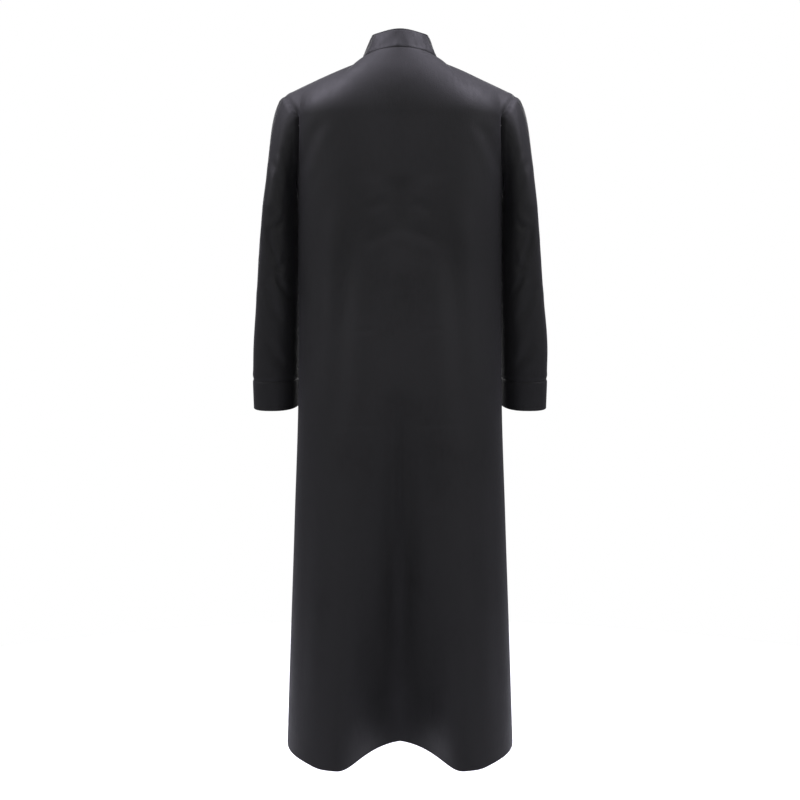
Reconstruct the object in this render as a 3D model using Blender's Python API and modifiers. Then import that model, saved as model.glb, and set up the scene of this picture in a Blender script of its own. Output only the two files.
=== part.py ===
"""A long black cassock with a standing collar, in its worn shape with no wearer inside.

Metres, +Z up. The wearer faces -Y, and the wearer's left is +X. The origin is the middle of the neck, level
with the neck ends of the shoulder seams. Each cut piece is a thin wall of cloth.
"""

from collections import namedtuple

import bmesh
import bpy
import numpy as np
from mathutils import Matrix, Vector

NAME = "cassock"
BACK, FRONT = 1, -1  # the side of a panel, which is also the sign of its Y
LEFT, RIGHT = 1, -1  # the wearer's side, which is also the sign of its X

# Cloth
WALL = 0.0015
COLLAR_WALL = 0.0020
SEAM_GAP = 0.0004
PANEL_GAP = 0.0006  # between back and front, whose walls lean together inside the seam
LAP_GAP = 0.0005

# Heights of the body
HEM_Z = -1.357
UNDERARM_Z = -0.255
BLADE_Z = -0.130  # the body is upright up to here, and rounds over to the shoulder above
HEM_RAISE = 0.008  # the hem is higher in the back's deep fold
HEM_DROOP = 0.008  # and lower where the cloth hangs furthest back

# Neck and shoulders
NECK_HALF = 0.0774
NECK_BACK = 0.072
NECK_FRONT = 0.068
NECK_SIDE_Z = -0.005
NECK_BACK_RISE = 0.011
NECK_FRONT_DROP = 0.029
SHOULDER_HALF = 0.232
SHOULDER_SLOPE = 0.372
SHOULDER_DROOP = 0.36  # how fast the shoulder line steepens, per metre
NECK_SHARE = 6 / 14  # the share of a panel's columns that end on the neckline
ROUNDING = 1.25  # fullness of the curve from the upright body to the shoulder line
NECK_CLIMB = {BACK: 0.10, FRONT: 0.05}

# Armhole
ARMHOLE_DEPTH = {BACK: 0.072, FRONT: 0.066}
ARMHOLE_FLARE = 1.5  # how fast the armhole's edge turns out to the shoulder tip

# Collar
COLLAR_TOP_HALF = 0.0562
COLLAR_TOP_BACK = 0.051
COLLAR_TOP_FRONT = 0.056
COLLAR_TOP_Z = 0.049
COLLAR_FRONT_DROP = 0.045
COLLAR_DIP = 0.003  # between the middle of the back and the sides
COLLAR_OPENING = 0.0016  # between its ends at the centre front

# Centre front
LAP = 0.014  # the left front reaches this far past the centre
UNDERLAP = 0.022  # and the right front this far, beneath it
LAP_BLEND = 0.030

# Buttons
BUTTON_COUNT = 18
BUTTON_SPACING = 0.060
BUTTON_TOP = 0.024  # from the neckline to the first button
BUTTON_RADIUS = 0.0065
BUTTON_HEIGHT = 0.0042
BUTTON_SIDES = 12

Section = namedtuple("Section", "z half_width back front square")
SECTIONS = (
    Section(HEM_Z, 0.2238, 0.187, 0.150, 2.20),
    Section(-1.150, 0.2170, 0.166, 0.140, 2.25),
    Section(-0.900, 0.2088, 0.143, 0.130, 2.35),
    Section(-0.680, 0.2024, 0.131, 0.122, 2.50),
    Section(-0.420, 0.2022, 0.117, 0.117, 2.60),
    Section(UNDERARM_Z, 0.2025, 0.124, 0.121, 3.00),
    Section(BLADE_Z, 0.2030, 0.125, 0.116, 3.80),
)

# Hanging folds that deepen down to the hem
Fold = namedtuple("Fold", "side x start_z start_reach hem_reach hem_depth growth")
FOLDS = (
    Fold(BACK, 0.0, -0.66, 0.045, 0.122, 0.160, 1.3),
    Fold(FRONT, 0.112, -0.80, 0.030, 0.055, 0.022, 1.4),
    Fold(FRONT, -0.112, -0.80, 0.030, 0.055, 0.022, 1.4),
)

VALLEY_BREADTH = 1.5
VALLEY_CREASE = 0.15  # the share of a valley's depth that is a crease along its bottom
REACH_GROWTH = 0.6  # a fold widens fast at first

# Sleeve sections, from the armpit to the cuff's edge
Ring = namedtuple("Ring", "z x y half_x half_y pitch")
SLEEVE_RINGS = (
    Ring(-0.300, 0.2378, -0.002, 0.0305, 0.078, 0.00),
    Ring(-0.385, 0.2414, -0.006, 0.0354, 0.070, 0.03),
    Ring(-0.481, 0.2452, -0.014, 0.0397, 0.063, 0.08),
    Ring(-0.577, 0.2498, -0.026, 0.0441, 0.056, 0.14),
    Ring(-0.634, 0.2508, -0.036, 0.0444, 0.053, 0.19),
    Ring(-0.688, 0.2512, -0.046, 0.0436, 0.052, 0.22),
)
SLEEVE_TWIST = 0.12  # how far its back leans out and its front leans in, as a slope
SLEEVE_SQUARE = 2.5
CUFF_SEAM_Z = -0.632
CUFF_END_Z = -0.688
CAP_LEAVE = (0.90, 0.15, 0.54)  # outward, along Y and down, as the cloth leaves the armhole
CAP_LEAVE_LENGTH = 0.50  # shares of the distance from the armhole to the first ring
CAP_ARRIVE_LENGTH = 0.86
CAP_ARRIVE = (0.10, 0.0, -1.0)

# Grids, as shares: a narrow strip beside each seam keeps the wall's end square to the cloth
STRIP = 0.02
BODY_COLUMNS = 14
SKIRT_ROWS = 15
ARMHOLE_ROWS = 4
SHOULDER_ROWS = 5
SLEEVE_COLUMNS = 20
CAP_ROWS = 5
ARM_ROWS = 7
CUFF_ROWS = 2
COLLAR_COLUMNS = 24
COLLAR_ROWS = 2


def hermite(start, end, leave, arrive, share):
    """The point at a share of the way along a curve with these ends and end slopes."""
    square, cube = share**2, share**3
    return (
        start * (2 * cube - 3 * square + 1)
        + leave * (cube - 2 * square + share)
        + end * (3 * square - 2 * cube)
        + arrive * (cube - square)
    )


def smooth(table, column, z):
    """A table's column at height z, on a smooth curve through its rows."""
    rows = sorted(table, key=lambda row: row.z)
    heights = np.array([row.z for row in rows])
    values = np.array([getattr(row, column) for row in rows])
    slopes = np.gradient(values, heights)
    z = np.clip(z, heights[0], heights[-1])
    low = np.clip(np.searchsorted(heights, z, side="right") - 1, 0, len(rows) - 2)
    step = heights[low + 1] - heights[low]
    share = (z - heights[low]) / step
    return hermite(values[low], values[low + 1], slopes[low] * step, slopes[low + 1] * step, share)


def hollow(distance):
    """A valley: 1 in the middle, 0 from a distance of 1 outwards. It is steepest half way up its sides."""
    distance = np.clip(np.abs(distance), 0, 1)
    bowl = np.cos(distance**VALLEY_BREADTH * np.pi / 2) ** 2
    return bowl + VALLEY_CREASE * ((1 - distance) ** 2 - bowl)


def middle_depth(side, z):
    return smooth(SECTIONS, "back" if side == BACK else "front", z)


def edge_x(side, z):
    """The x of a panel's side edge: the side seam up to the underarm, and the armhole cut above it."""
    rise = np.clip((z - UNDERARM_Z) / (BLADE_Z - UNDERARM_Z), 0, 1)
    cut_depth = ARMHOLE_DEPTH[side] * np.sqrt(1 - (1 - rise) ** 2)
    square = smooth(SECTIONS, "square", z)
    cut = (cut_depth / middle_depth(side, z)) ** square
    return smooth(SECTIONS, "half_width", z) * (1 - cut) ** (1 / square)


def body_depth(side, x, z):
    """How far behind or before the middle the upright body's cloth is at this x and height."""
    square = smooth(SECTIONS, "square", z)
    across = np.clip(np.abs(x) / smooth(SECTIONS, "half_width", z), 0, 1)
    depth = middle_depth(side, z) * (1 - across**square) ** (1 / square)
    for fold in FOLDS:
        if fold.side != side:
            continue
        down = np.clip((fold.start_z - z) / (fold.start_z - HEM_Z), 0, 1)
        reach = fold.start_reach + (fold.hem_reach - fold.start_reach) * down**REACH_GROWTH
        depth = depth - fold.hem_depth * down**fold.growth * hollow((x - fold.x) / reach)
    return depth


def column_x(share):
    """(share of the half width low down, x at the top edge) of a panel's column. Share 0 is the centre."""
    low = np.sign(share) * np.sin(np.abs(share) * np.pi / 2) ** 0.83
    on_neck = NECK_HALF * np.sin(np.clip(np.abs(share) / NECK_SHARE, 0, 1) * np.pi / 2)
    past_neck = np.clip((np.abs(share) - NECK_SHARE) / (1 - NECK_SHARE), 0, 1)
    return low, np.sign(share) * (on_neck + (SHOULDER_HALF - NECK_HALF) * past_neck)


def neck_point(side, x):
    """(depth, z) of the neckline at this x."""
    forward = np.sqrt(1 - np.clip(np.abs(x) / NECK_HALF, 0, 1) ** 2)
    if side == BACK:
        return NECK_BACK * forward, NECK_SIDE_Z + NECK_BACK_RISE * forward
    return NECK_FRONT * forward, NECK_SIDE_Z - NECK_BACK_RISE * forward - NECK_FRONT_DROP * forward**2


def top_point(side, x):
    """(depth, z) of a panel's top edge: the neckline, then the shoulder seam."""
    depth, z = neck_point(side, x)
    out = np.clip(np.abs(x) - NECK_HALF, 0, None)
    return depth, z - SHOULDER_SLOPE * out - SHOULDER_DROOP * out**2


def panel_points(side, columns, rows):
    """A grid of points, by row and column. A column is (share, shift along X). A row is 0 at the hem, 1 at
    the underarm, 2 at the shoulder blades and 3 at the neckline and shoulder seam."""
    share, shift = (np.array(values) for values in zip(*columns))
    rows = np.array(rows)[:, None]
    low_share, top_x = column_x(share)
    top_x = top_x + shift

    up_skirt = np.clip(rows, 0, 1)
    turn = np.clip(rows - 1, 0, 1) * np.pi / 2
    z = HEM_Z + (UNDERARM_Z - HEM_Z) * up_skirt + (BLADE_Z - UNDERARM_Z) * (1 - np.cos(turn))
    x = edge_x(side, z) * low_share + shift
    depth = body_depth(side, x, z)
    z = z + 0 * x
    if side == BACK:
        lift = HEM_RAISE * hollow(x / FOLDS[0].hem_reach) - HEM_DROOP * np.sin(np.abs(low_share) * np.pi)
        z = z + lift * (1 - up_skirt) ** 3

    top_depth, top_z = top_point(side, top_x)
    over = np.clip(rows - 2, 0, 1)
    climb = NECK_CLIMB[side] * np.clip(top_depth / NECK_BACK, 0, 1) ** 2
    z = hermite(z, top_z, ROUNDING * (top_z - z), climb, over)
    spread = np.sign(x) * np.clip(np.abs(top_x) - np.abs(x), 0, None)
    x = hermite(x, top_x, ARMHOLE_FLARE * spread, (top_x - x) / 2, over)
    depth = hermite(depth, top_depth, 0, -ROUNDING * (depth - top_depth), over)
    return np.stack([x, side * (depth + PANEL_GAP / 2), z], axis=-1)


def even(start, end, count):
    return list(np.linspace(start, end, count + 1))


def panel_rows():
    """The rows of every panel, with a narrow strip beside the shoulder seam."""
    upright = even(0, 1, SKIRT_ROWS) + even(1, 2, ARMHOLE_ROWS)[1:]
    return upright + even(2, 3, SHOULDER_ROWS)[1:-1] + [3 - STRIP * 3, 3]


def side_columns():
    """The shares of the columns from beside the centre to the side edge, with a narrow strip beside it."""
    return even(0, 1, BODY_COLUMNS)[1:-1] + [1 - STRIP, 1]


def back_points():
    shares = side_columns()
    columns = shares[::-1] + [0] + [-share for share in shares]
    return panel_points(BACK, [(share, 0) for share in columns], panel_rows())


def front_points(hand):
    """One front from its free edge to its side, as if it were the wearer's left. The right one's edge is
    sunk beneath the left one's."""
    shares = [(share, 0) for share in side_columns()]
    if hand == LEFT:
        return panel_points(FRONT, [(0, -LAP), (0, 0)] + shares, panel_rows())
    edge = LAP + LAP_GAP * 4
    columns = [(0, -UNDERLAP), (0, 0), (0, edge)] + shares
    points = panel_points(FRONT, columns, panel_rows())
    sink = (WALL + LAP_GAP) * np.clip(1 - (points[..., 0] - edge) / LAP_BLEND, 0, 1)
    slope = np.clip((points[..., 2] - BLADE_Z) / -BLADE_Z, 0, 1) * np.pi / 2
    points[..., 1] += sink * np.cos(slope)
    points[..., 2] -= sink * np.sin(slope)
    return points


def along(points, shares):
    """Points at these shares of a line's length."""
    lengths = np.linalg.norm(np.diff(points, axis=0), axis=1)
    run = np.concatenate([[0], np.cumsum(lengths)]) / lengths.sum()
    return np.stack([np.interp(shares, run, points[:, axis]) for axis in range(3)], axis=-1)


def armhole_loop(turns):
    """The left armhole: turn 0 is at the shoulder tip, 0.25 at the back, 0.5 underneath, 0.75 in front."""
    fine_rows = even(3, 1, 80)
    points = np.zeros((len(turns), 3))
    for side, shares in ((BACK, turns * 2), (FRONT, 2 - turns * 2)):
        half = along(panel_points(side, [(1, 0)], fine_rows)[:, 0], np.clip(shares, 0, 1))
        here = shares <= 1
        points[here] = half[here]
    return points


def ring_points(z, turns):
    """The left sleeve's section at this height, tipped forwards towards the hand."""
    angles = np.linspace(0, np.pi, 81)
    x, y, half_x, half_y, pitch = (float(smooth(SLEEVE_RINGS, name, z)) for name in Ring._fields[1:])
    out = np.sign(np.cos(angles)) * np.abs(np.cos(angles)) ** (2 / SLEEVE_SQUARE) * half_x
    back = np.sin(angles) ** (2 / SLEEVE_SQUARE) * half_y
    half = np.stack([out, back, 0 * back], axis=-1)
    loop = along(half, 1 - np.abs(1 - turns * 2))
    loop[:, 1] *= np.sign(0.5 - turns)
    across = x + loop[:, 0] + SLEEVE_TWIST * loop[:, 1]
    return np.stack([across, y + loop[:, 1] * np.cos(pitch), z - loop[:, 1] * np.sin(pitch)], axis=-1)


def cap_points(turns, shares):
    """The top of the left sleeve, from the armhole to the first ring."""
    start = armhole_loop(turns)
    end = ring_points(SLEEVE_RINGS[0].z, turns)
    reach = np.linalg.norm(end - start, axis=1, keepdims=True)
    angle = turns * 2 * np.pi
    outward, sideways, down = CAP_LEAVE
    leave = np.stack(
        [0 * angle + outward, sideways * np.sin(angle), -down * (1 + np.cos(angle)) / 2], axis=-1
    )
    leave /= np.linalg.norm(leave, axis=1, keepdims=True)
    start = start + leave * SEAM_GAP
    arrive = np.array(CAP_ARRIVE) * CAP_ARRIVE_LENGTH * reach
    leave = leave * CAP_LEAVE_LENGTH * reach
    return np.stack([hermite(start, end, leave, arrive, share) for share in shares])


def sleeve_points():
    turns = np.linspace(1, 0, SLEEVE_COLUMNS, endpoint=False)
    cap = cap_points(turns, [0, STRIP] + even(0, 1, CAP_ROWS)[1:])
    last = CUFF_SEAM_Z + SEAM_GAP
    strip = STRIP * 0.1
    heights = even(SLEEVE_RINGS[0].z, last + strip, ARM_ROWS)[1:] + [last]
    return np.concatenate([cap, [ring_points(z, turns) for z in heights]])


def cuff_points():
    turns = np.linspace(1, 0, SLEEVE_COLUMNS, endpoint=False)
    return np.array([ring_points(z, turns) for z in even(CUFF_SEAM_Z, CUFF_END_Z, CUFF_ROWS)])


def collar_points():
    """The band from one end at the centre front round the back of the neck to the other."""
    half_turn = np.pi - COLLAR_OPENING / 2 / NECK_FRONT
    angles = np.linspace(half_turn, -half_turn, COLLAR_COLUMNS + 1)
    back, x = np.cos(angles), np.sin(angles)
    ahead = np.clip(-back, 0, 1)
    base_y = np.where(back > 0, NECK_BACK, NECK_FRONT) * back
    base_z = NECK_SIDE_Z + NECK_BACK_RISE * back - NECK_FRONT_DROP * ahead**2 + SEAM_GAP
    top_y = np.where(back > 0, COLLAR_TOP_BACK, COLLAR_TOP_FRONT) * back
    dip = np.where(back > 0, np.sin(2 * angles) ** 2, 0)
    top_z = COLLAR_TOP_Z - COLLAR_FRONT_DROP * ahead**2 - COLLAR_DIP * dip
    base = np.stack([NECK_HALF * x, base_y, base_z], axis=-1)
    top = np.stack([COLLAR_TOP_HALF * x, top_y, top_z], axis=-1)
    return np.array([base + (top - base) * share for share in even(0, 1, COLLAR_ROWS)])


def cloth_material(name, colour):
    material = bpy.data.materials.new(name)
    material.use_nodes = True
    shader = material.node_tree.nodes["Principled BSDF"]
    shader.inputs["Base Color"].default_value = (*colour, 1)
    shader.inputs["Roughness"].default_value = 0.6
    shader.inputs["Metallic"].default_value = 0.0
    return material


def mirrored(points):
    """The same piece for the wearer's other side, still facing out."""
    return points[:, ::-1] * (-1, 1, 1)


def make_panel(name, points, wall, collection, closed=False):
    """A wall of cloth on a grid of outer points, thickened inwards."""
    mesh = bmesh.new()
    grid = [[mesh.verts.new(point) for point in row] for row in points]
    for below, above in zip(grid, grid[1:]):
        pairs = list(zip(below, above))
        if closed:
            pairs.append(pairs[0])
        for (a, d), (b, c) in zip(pairs, pairs[1:]):
            mesh.faces.new((a, b, c, d))
    data = bpy.data.meshes.new(name)
    mesh.to_mesh(data)
    mesh.free()
    data.shade_smooth()
    panel = bpy.data.objects.new(name, data)
    collection.objects.link(panel)
    data.materials.append(cloth_material(f"{name}_cloth", (0.012, 0.012, 0.016)))
    thicken = panel.modifiers.new("wall", "SOLIDIFY")
    thicken.thickness = wall
    thicken.offset = -1
    return panel


def button_mesh():
    """A small domed button, turned about +Z with its flat back at 0."""
    profile = (
        (0.0, BUTTON_HEIGHT),
        (0.55, BUTTON_HEIGHT * 0.88),
        (0.88, BUTTON_HEIGHT * 0.55),
        (1.0, BUTTON_HEIGHT * 0.25),
        (0.9, 0.0),
        (0.0, 0.0),
    )
    mesh = bmesh.new()
    corners = [mesh.verts.new((BUTTON_RADIUS * out, 0, height)) for out, height in profile]
    for first, second in zip(corners, corners[1:]):
        mesh.edges.new((first, second))
    data = bpy.data.meshes.new("button")
    mesh.to_mesh(data)
    mesh.free()
    return data


def make_buttons(collection):
    """The row of buttons down the centre of the left front, each on the facet that it lies on."""
    data = button_mesh()
    data.materials.append(cloth_material("button_plastic", (0.010, 0.010, 0.012)))
    centre_line = panel_points(FRONT, [(0, 0)], panel_rows())[::-1, 0]
    lengths = np.linalg.norm(np.diff(centre_line, axis=0), axis=1)
    run = np.concatenate([[0], np.cumsum(lengths)])
    for index in range(BUTTON_COUNT):
        down = BUTTON_TOP + BUTTON_SPACING * index
        edge = int(np.searchsorted(run, down)) - 1
        fall = Vector(centre_line[edge + 1] - centre_line[edge]).normalized()
        place = Vector(centre_line[edge]) + fall * (down - run[edge])
        outward = fall.cross(Vector((1, 0, 0))).normalized()
        button = bpy.data.objects.new(f"button_{index + 1:02d}", data)
        collection.objects.link(button)
        turn = Matrix((Vector((1, 0, 0)), outward.cross(Vector((1, 0, 0))), outward)).transposed()
        button.matrix_world = Matrix.Translation(place + outward * LAP_GAP) @ turn.to_4x4()
        spin = button.modifiers.new("turned", "SCREW")
        spin.steps = BUTTON_SIDES
        spin.render_steps = BUTTON_SIDES
        spin.use_merge_vertices = True
        spin.merge_threshold = 0.0001


def main():
    for obj in list(bpy.data.objects):
        bpy.data.objects.remove(obj)
    collection = bpy.data.collections.new(NAME)
    bpy.context.scene.collection.children.link(collection)

    make_panel("back", back_points(), WALL, collection)
    make_panel("front_left", front_points(LEFT), WALL, collection)
    make_panel("front_right", mirrored(front_points(RIGHT)), WALL, collection)
    for name, points in (("sleeve", sleeve_points()), ("cuff", cuff_points())):
        make_panel(f"{name}_left", points, WALL, collection, closed=True)
        make_panel(f"{name}_right", mirrored(points), WALL, collection, closed=True)
    make_panel("collar", collar_points(), COLLAR_WALL, collection)
    make_buttons(collection)


main()
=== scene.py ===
"""The looks of the long black cassock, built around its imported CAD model.

Metres, +Z up. The wearer faces -Y, and the wearer's left is +X. Each cut piece is a thin shell on the form
that its CAD solid has, with its creases, seams and stitching.
"""

import math

from collections import namedtuple

import bmesh
import bpy
import numpy as np
from mathutils import Matrix, Vector, noise


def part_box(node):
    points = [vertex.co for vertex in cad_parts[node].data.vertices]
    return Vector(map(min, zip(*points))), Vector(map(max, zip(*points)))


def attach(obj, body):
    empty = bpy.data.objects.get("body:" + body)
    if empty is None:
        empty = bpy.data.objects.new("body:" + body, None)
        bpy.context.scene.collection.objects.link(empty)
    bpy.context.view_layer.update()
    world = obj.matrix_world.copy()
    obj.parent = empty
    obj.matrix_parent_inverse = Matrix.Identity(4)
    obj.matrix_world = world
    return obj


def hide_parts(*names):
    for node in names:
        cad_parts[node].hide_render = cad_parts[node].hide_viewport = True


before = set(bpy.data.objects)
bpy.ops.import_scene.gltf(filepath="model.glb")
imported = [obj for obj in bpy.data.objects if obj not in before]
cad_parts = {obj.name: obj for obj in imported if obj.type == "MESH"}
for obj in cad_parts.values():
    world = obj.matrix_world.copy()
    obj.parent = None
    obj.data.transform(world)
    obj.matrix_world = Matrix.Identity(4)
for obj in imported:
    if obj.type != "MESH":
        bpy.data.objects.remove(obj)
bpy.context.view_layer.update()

BACK, FRONT = 1, -1  # the side of a panel, which is also the sign of its Y
LEFT, RIGHT = 1, -1  # the wearer's side, which is also the sign of its X

# ---------------------------------------------------------------------------------------------------------
# The form, with the CAD model's sizes

CLOTH = 0.0011  # the shell's thickness, within the CAD wall
BAND = 0.0018  # the collar's and the cuffs' thickness
LAP_SINK = 0.0020  # the right front lies this far beneath the left one

HEM_Z = -1.357
UNDERARM_Z = -0.255
BLADE_Z = -0.130
HEM_RAISE = 0.008
HEM_DROOP = 0.008

NECK_HALF = 0.0774
NECK_BACK = 0.072
NECK_FRONT = 0.068
NECK_SIDE_Z = -0.005
NECK_BACK_RISE = 0.011
NECK_FRONT_DROP = 0.029
SHOULDER_HALF = 0.232
SHOULDER_SLOPE = 0.372
SHOULDER_DROOP = 0.36
NECK_SHARE = 6 / 14
ROUNDING = 1.25
NECK_CLIMB = {BACK: 0.10, FRONT: 0.05}
ARMHOLE_DEPTH = {BACK: 0.072, FRONT: 0.066}
ARMHOLE_FLARE = 1.5  # how fast the armhole's edge turns out to the shoulder tip

COLLAR_TOP_HALF = 0.0562
COLLAR_TOP_BACK = 0.051
COLLAR_TOP_FRONT = 0.056
COLLAR_TOP_Z = 0.049
COLLAR_FRONT_DROP = 0.045
COLLAR_DIP = 0.003
COLLAR_OPENING = 0.0016

LAP = 0.014
UNDERLAP = 0.022
LAP_BLEND = 0.030

Section = namedtuple("Section", "z half_width back front square")
SECTIONS = (
    Section(HEM_Z, 0.2238, 0.187, 0.150, 2.20),
    Section(-1.150, 0.2170, 0.166, 0.140, 2.25),
    Section(-0.900, 0.2088, 0.143, 0.130, 2.35),
    Section(-0.680, 0.2024, 0.131, 0.122, 2.50),
    Section(-0.420, 0.2022, 0.117, 0.117, 2.60),
    Section(UNDERARM_Z, 0.2025, 0.124, 0.121, 3.00),
    Section(BLADE_Z, 0.2030, 0.125, 0.116, 3.80),
)

Fold = namedtuple("Fold", "side x start_z start_reach hem_reach hem_depth growth")
FOLDS = (
    Fold(BACK, 0.0, -0.66, 0.045, 0.122, 0.160, 1.3),
    Fold(FRONT, 0.112, -0.80, 0.030, 0.055, 0.022, 1.4),
    Fold(FRONT, -0.112, -0.80, 0.030, 0.055, 0.022, 1.4),
)
VALLEY_BREADTH = 1.5
VALLEY_CREASE = 0.15
REACH_GROWTH = 0.6

Ring = namedtuple("Ring", "z x y half_x half_y pitch")
SLEEVE_RINGS = (
    Ring(-0.300, 0.2378, -0.002, 0.0305, 0.078, 0.00),
    Ring(-0.385, 0.2414, -0.006, 0.0354, 0.070, 0.03),
    Ring(-0.481, 0.2452, -0.014, 0.0397, 0.063, 0.08),
    Ring(-0.577, 0.2498, -0.026, 0.0441, 0.056, 0.14),
    Ring(-0.634, 0.2508, -0.036, 0.0444, 0.053, 0.19),
    Ring(-0.688, 0.2512, -0.046, 0.0436, 0.052, 0.22),
)
SLEEVE_TWIST = 0.12  # how far its back leans out and its front leans in, as a slope
SLEEVE_SQUARE = 2.5
CUFF_SEAM_Z = -0.632
CUFF_END_Z = -0.688
CAP_LEAVE = (0.90, 0.15, 0.54)
CAP_LEAVE_LENGTH = 0.50
CAP_ARRIVE_LENGTH = 0.86
CAP_ARRIVE = (0.10, 0.0, -1.0)


def hermite(start, end, leave, arrive, share):
    """The point at a share of the way along a curve with these ends and end slopes."""
    square, cube = share**2, share**3
    return (
        start * (2 * cube - 3 * square + 1)
        + leave * (cube - 2 * square + share)
        + end * (3 * square - 2 * cube)
        + arrive * (cube - square)
    )


def smooth(table, column, z):
    """A table's column at height z, on a smooth curve through its rows."""
    rows = sorted(table, key=lambda row: row.z)
    heights = np.array([row.z for row in rows])
    values = np.array([getattr(row, column) for row in rows])
    slopes = np.gradient(values, heights)
    z = np.clip(z, heights[0], heights[-1])
    low = np.clip(np.searchsorted(heights, z, side="right") - 1, 0, len(rows) - 2)
    step = heights[low + 1] - heights[low]
    share = (z - heights[low]) / step
    return hermite(values[low], values[low + 1], slopes[low] * step, slopes[low + 1] * step, share)


def hollow(distance):
    """A valley: 1 in the middle, 0 from a distance of 1 outwards. It is steepest half way up its sides."""
    distance = np.clip(np.abs(distance), 0, 1)
    bowl = np.cos(distance**VALLEY_BREADTH * np.pi / 2) ** 2
    return bowl + VALLEY_CREASE * ((1 - distance) ** 2 - bowl)


def middle_depth(side, z):
    return smooth(SECTIONS, "back" if side == BACK else "front", z)


def edge_x(side, z):
    """The x of a panel's side edge: the side seam up to the underarm, and the armhole cut above it."""
    rise = np.clip((z - UNDERARM_Z) / (BLADE_Z - UNDERARM_Z), 0, 1)
    cut_depth = ARMHOLE_DEPTH[side] * np.sqrt(1 - (1 - rise) ** 2)
    square = smooth(SECTIONS, "square", z)
    cut = (cut_depth / middle_depth(side, z)) ** square
    return smooth(SECTIONS, "half_width", z) * (1 - cut) ** (1 / square)


def body_depth(side, x, z):
    """How far behind or before the middle the upright body's cloth is at this x and height."""
    square = smooth(SECTIONS, "square", z)
    across = np.clip(np.abs(x) / smooth(SECTIONS, "half_width", z), 0, 1)
    depth = middle_depth(side, z) * (1 - across**square) ** (1 / square)
    for fold in FOLDS:
        if fold.side != side:
            continue
        down = np.clip((fold.start_z - z) / (fold.start_z - HEM_Z), 0, 1)
        reach = fold.start_reach + (fold.hem_reach - fold.start_reach) * down**REACH_GROWTH
        depth = depth - fold.hem_depth * down**fold.growth * hollow((x - fold.x) / reach)
    return depth


COLUMN_POWER = 0.83  # below 1, the columns stand wider apart near the centre


def column_x(share):
    """(share of the half width low down, x at the top edge) of a panel's column. Share 0 is the centre."""
    low = np.sign(share) * np.sin(np.abs(share) * np.pi / 2) ** COLUMN_POWER
    on_neck = NECK_HALF * np.sin(np.clip(np.abs(share) / NECK_SHARE, 0, 1) * np.pi / 2)
    past_neck = np.clip((np.abs(share) - NECK_SHARE) / (1 - NECK_SHARE), 0, 1)
    return low, np.sign(share) * (on_neck + (SHOULDER_HALF - NECK_HALF) * past_neck)


def neck_point(side, x):
    """(depth, z) of the neckline at this x."""
    forward = np.sqrt(1 - np.clip(np.abs(x) / NECK_HALF, 0, 1) ** 2)
    if side == BACK:
        return NECK_BACK * forward, NECK_SIDE_Z + NECK_BACK_RISE * forward
    return NECK_FRONT * forward, NECK_SIDE_Z - NECK_BACK_RISE * forward - NECK_FRONT_DROP * forward**2


def top_point(side, x):
    """(depth, z) of a panel's top edge: the neckline, then the shoulder seam."""
    depth, z = neck_point(side, x)
    out = np.clip(np.abs(x) - NECK_HALF, 0, None)
    return depth, z - SHOULDER_SLOPE * out - SHOULDER_DROOP * out**2


def panel_points(side, columns, rows):
    """A grid of points, by row and column. A column is (share, shift along X). A row is 0 at the hem, 1 at
    the underarm, 2 at the shoulder blades and 3 at the neckline and shoulder seam."""
    share, shift = (np.array(values) for values in zip(*columns))
    rows = np.array(rows)[:, None]
    low_share, top_x = column_x(share)
    top_x = top_x + shift

    up_skirt = np.clip(rows, 0, 1)
    turn = np.clip(rows - 1, 0, 1) * np.pi / 2
    z = HEM_Z + (UNDERARM_Z - HEM_Z) * up_skirt + (BLADE_Z - UNDERARM_Z) * (1 - np.cos(turn))
    x = edge_x(side, z) * low_share + shift
    depth = body_depth(side, x, z)
    z = z + 0 * x
    if side == BACK:
        lift = HEM_RAISE * hollow(x / FOLDS[0].hem_reach) - HEM_DROOP * np.sin(np.abs(low_share) * np.pi)
        z = z + lift * (1 - up_skirt) ** 3

    top_depth, top_z = top_point(side, top_x)
    over = np.clip(rows - 2, 0, 1)
    climb = NECK_CLIMB[side] * np.clip(top_depth / NECK_BACK, 0, 1) ** 2
    z = hermite(z, top_z, ROUNDING * (top_z - z), climb, over)
    spread = np.sign(x) * np.clip(np.abs(top_x) - np.abs(x), 0, None)
    x = hermite(x, top_x, ARMHOLE_FLARE * spread, (top_x - x) / 2, over)
    depth = hermite(depth, top_depth, 0, -ROUNDING * (depth - top_depth), over)
    return np.stack([x, side * depth, z], axis=-1)


def even(start, end, count):
    return list(np.linspace(start, end, count + 1))


def along(points, shares):
    """Points at these shares of a line's length."""
    lengths = np.linalg.norm(np.diff(points, axis=0), axis=1)
    run = np.concatenate([[0], np.cumsum(lengths)]) / lengths.sum()
    return np.stack([np.interp(shares, run, points[:, axis]) for axis in range(3)], axis=-1)


ARMHOLE_STEPS = 160  # fine steps, along which the sleeve's columns are spaced evenly
RING_STEPS = 180


def armhole_loop(turns):
    """The left armhole: turn 0 is at the shoulder tip, 0.25 at the back, 0.5 underneath, 0.75 in front."""
    fine_rows = even(3, 1, ARMHOLE_STEPS)
    points = np.zeros((len(turns), 3))
    for side, shares in ((BACK, turns * 2), (FRONT, 2 - turns * 2)):
        half = along(panel_points(side, [(1, 0)], fine_rows)[:, 0], np.clip(shares, 0, 1))
        here = shares <= 1
        points[here] = half[here]
    return points


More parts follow.
